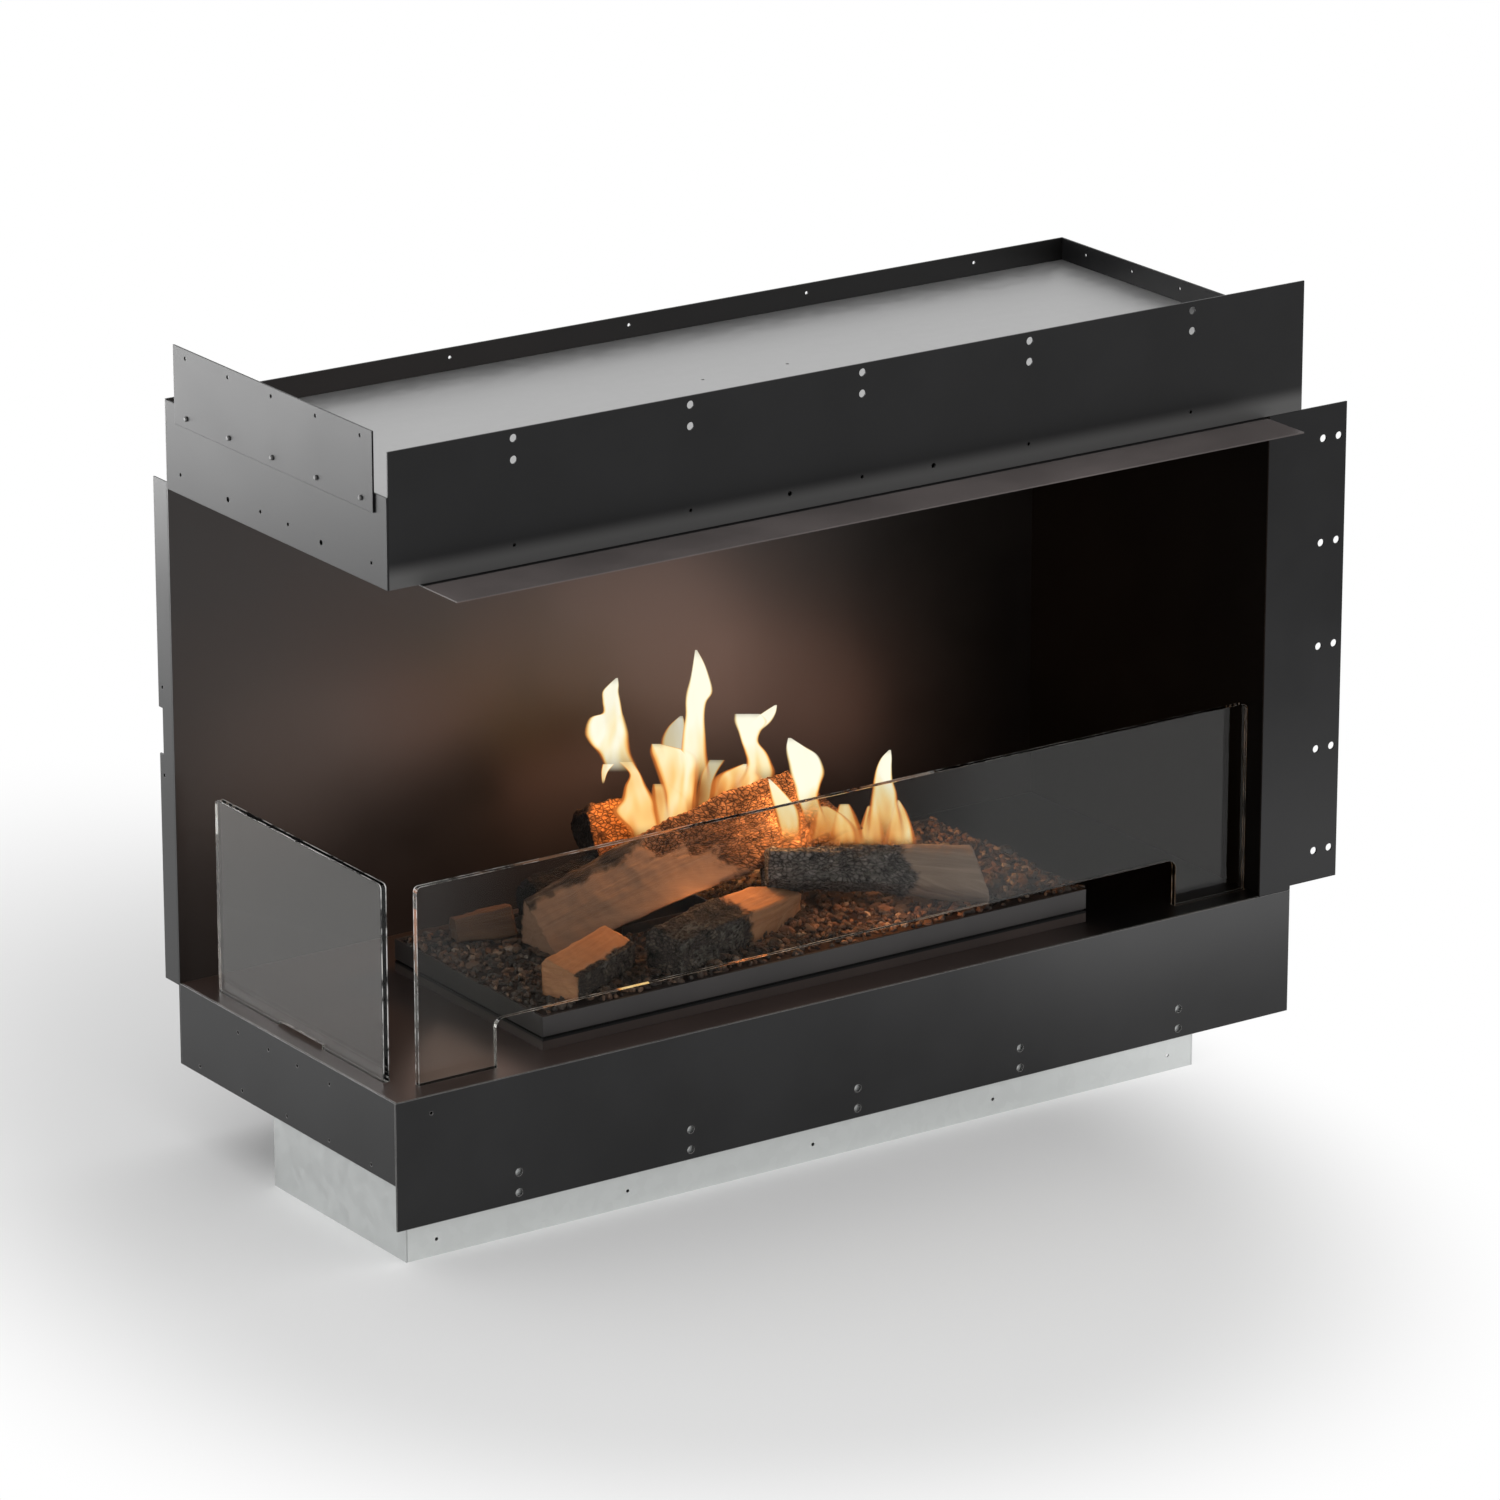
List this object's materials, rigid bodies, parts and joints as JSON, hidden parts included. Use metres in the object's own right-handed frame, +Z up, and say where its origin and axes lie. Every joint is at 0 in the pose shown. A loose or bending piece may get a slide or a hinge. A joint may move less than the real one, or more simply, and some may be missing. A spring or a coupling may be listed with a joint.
{
  "type": "corner bioethanol fireplace",
  "caption": "Built-in black steel firebox open at the front and the left, with loose glass panes, a low burner tray with a sliding shutter, ceramic logs and chips, on a galvanised plinth.",
  "frame": {"origin": "middle of the outline's box at floor level", "axes": "+X along the front towards the closed right side, +Y from the front to the back wall, +Z up"},
  "size_m": [1.2698, 0.55, 0.92],
  "materials": {
    "black_powder_coat": "satin fine-grained powder coat on sheet steel",
    "galvanised_steel": "plain zinc-coated sheet",
    "stainless_steel": "brushed",
    "toughened_glass": "clear with polished edges",
    "ceramic_fibre": "soft white fibre",
    "insulation_board": "pressed mineral fibre",
    "seat_pad": "matt",
    "ceramic_chips": "rough ceramic pieces",
    "ceramic_log": "moulded ceramic with bark and split wood relief"
  },
  "bodies": {
    "casing": {"plinth_front": "galvanised_steel", "plinth_back": "galvanised_steel", "plinth_left_end": "galvanised_steel", "plinth_right_end": "galvanised_steel", "base_rib": "galvanised_steel", "top_cover": "galvanised_steel", "cover_rib": "galvanised_steel", "cover_bearer_front": "galvanised_steel", "cover_bearer_back": "galvanised_steel", "slot_collar_left": "stainless_steel", "slot_collar_right": "stainless_steel", "fuel_tank": "stainless_steel", "shutter_rail_front": "stainless_steel", "shutter_rail_back": "stainless_steel", "fuel_wadding": "ceramic_fibre", "right_insulation": "insulation_board", "ceiling_insulation": "insulation_board", "front_glass_pad": "seat_pad", "left_glass_pad": "seat_pad", "chip_bed": "ceramic_chips", "main_split_log": "ceramic_log", "rear_log": "ceramic_log", "front_right_log": "ceramic_log", "front_left_log": "ceramic_log", "black_ended_log": "ceramic_log", "left_split_log": "ceramic_log", "charred_log": "ceramic_log", "skirt_front": "black_powder_coat", "skirt_left": "black_powder_coat", "skirt_corner_angle": "black_powder_coat", "base_plate": "black_powder_coat", "base_side_angle": "black_powder_coat", "hearth_plate": "black_powder_coat", "back_wall": "black_powder_coat", "right_wall": "black_powder_coat", "right_liner": "black_powder_coat", "right_front_flange": "black_powder_coat", "back_left_flange": "black_powder_coat", "hood_front_plate": "black_powder_coat", "hood_left_plate": "black_powder_coat", "hood_upper_flange": "black_powder_coat", "hood_flange_screw_1": "black_powder_coat", "hood_flange_screw_2": "black_powder_coat", "hood_flange_screw_3": "black_powder_coat", "hood_flange_screw_4": "black_powder_coat", "hood_flange_screw_5": "black_powder_coat", "hood_corner_angle": "black_powder_coat", "board_ledge": "black_powder_coat", "ceiling_plate": "black_powder_coat", "front_glass_channel": "black_powder_coat", "left_glass_channel": "black_powder_coat", "tray_foot": "black_powder_coat", "tray_rim": "black_powder_coat", "burner_deck": "black_powder_coat", "tank_frame": "black_powder_coat"},
    "front_pane": {"front_glass": "toughened_glass"},
    "left_pane": {"left_glass": "toughened_glass"},
    "shutter": {"shutter_plate": "stainless_steel", "shutter_rod": "stainless_steel", "shutter_knob": "black_powder_coat"}
  },
  "joints": [
    {"name": "front_glass_lift", "type": "slide", "parent": "casing", "child": "front_pane", "axis": [0, 0, 1], "range_m": [0, 0.06]},
    {"name": "left_glass_lift", "type": "slide", "parent": "casing", "child": "left_pane", "axis": [0, 0, 1], "range_m": [0, 0.06]},
    {"name": "shutter_slide", "type": "slide", "parent": "casing", "child": "shutter", "axis": [1, 0, 0], "range_m": [0, 0.123]}
  ]
}
